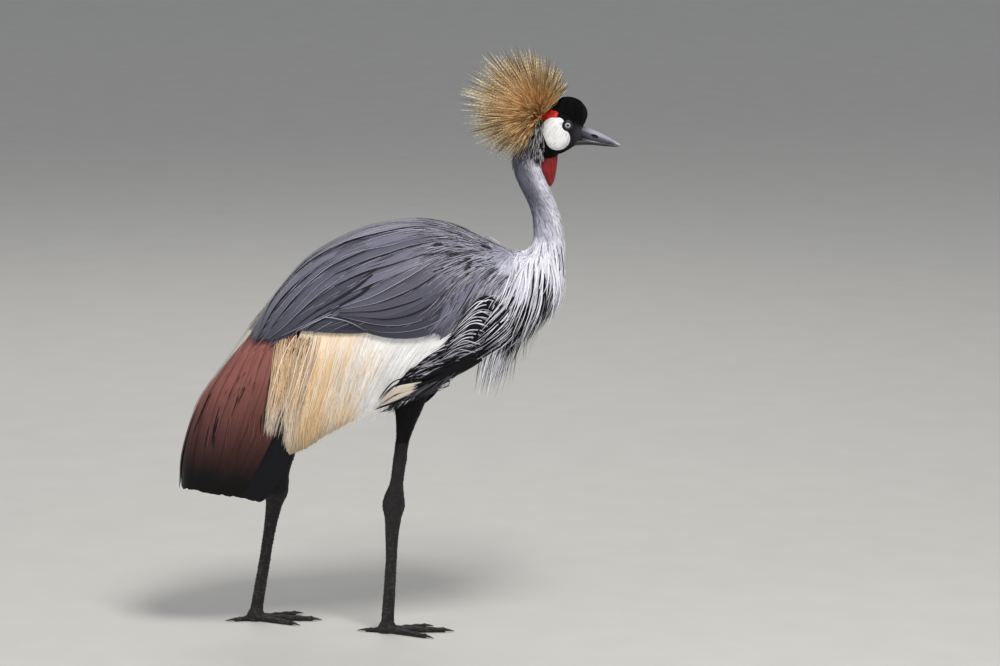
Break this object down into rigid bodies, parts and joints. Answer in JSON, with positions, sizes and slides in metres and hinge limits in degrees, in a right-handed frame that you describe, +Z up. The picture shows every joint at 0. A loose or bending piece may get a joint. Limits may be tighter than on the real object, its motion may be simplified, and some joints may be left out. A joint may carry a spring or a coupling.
{
  "type": "grey crowned crane, standing model",
  "caption": "Life-size still model of a grey crowned crane in mid stride: bristle crest, red throat wattle, folded layered wings, long legs and flat toes.",
  "frame": {"origin": "on the floor under the middle of the bird's outer box", "axes": "+X towards the bill, -Y the bird's right side, +Z up"},
  "size_m": [0.7166, 0.2252, 0.9417],
  "materials": {
    "head_feathers": "matt black velvet feathering with a bare white cheek",
    "crest_bristles": "stiff straw-coloured bristles",
    "bill_horn": "satin slate-grey horn, paler at the tip",
    "iris": "wet pale grey-blue iris with a black pupil",
    "wattle_skin": "bare wrinkled red skin",
    "neck_feathers": "soft pale grey feathers, long and loose at the base",
    "body_feathers": "dark slate feathers with pale streaks",
    "black_feathers": "blue-black stiff feathers",
    "mantle_feathers": "smooth slate-grey feathers",
    "gold_feathers": "white feathers running into golden plumes",
    "chestnut_feathers": "satin chestnut feathers over black ones",
    "leg_scales": "dry scaled black skin",
    "claw_horn": "dull black horn"
  },
  "bodies": {
    "root": {"head": "head_feathers", "crest": "crest_bristles", "bill_upper": "bill_horn", "bill_lower": "bill_horn", "eye_left": "iris", "eye_right": "iris", "wattle": "wattle_skin", "neck_upper": "neck_feathers", "neck_lower": "neck_feathers", "torso": "body_feathers", "tail": "black_feathers", "wing_left_mantle": "mantle_feathers", "wing_right_mantle": "mantle_feathers", "wing_left_coverts": "gold_feathers", "wing_right_coverts": "gold_feathers", "wing_left_flight": "chestnut_feathers", "wing_right_flight": "chestnut_feathers", "leg_left_thigh": "body_feathers", "leg_right_thigh": "body_feathers", "leg_left_shank": "leg_scales", "leg_right_shank": "leg_scales", "leg_left_tarsus": "leg_scales", "leg_right_tarsus": "leg_scales", "foot_left": "leg_scales", "foot_right": "leg_scales", "claw_left_inner": "claw_horn", "claw_left_middle": "claw_horn", "claw_left_outer": "claw_horn", "claw_left_hind": "claw_horn", "claw_right_inner": "claw_horn", "claw_right_middle": "claw_horn", "claw_right_outer": "claw_horn", "claw_right_hind": "claw_horn"}
  },
  "joints": []
}
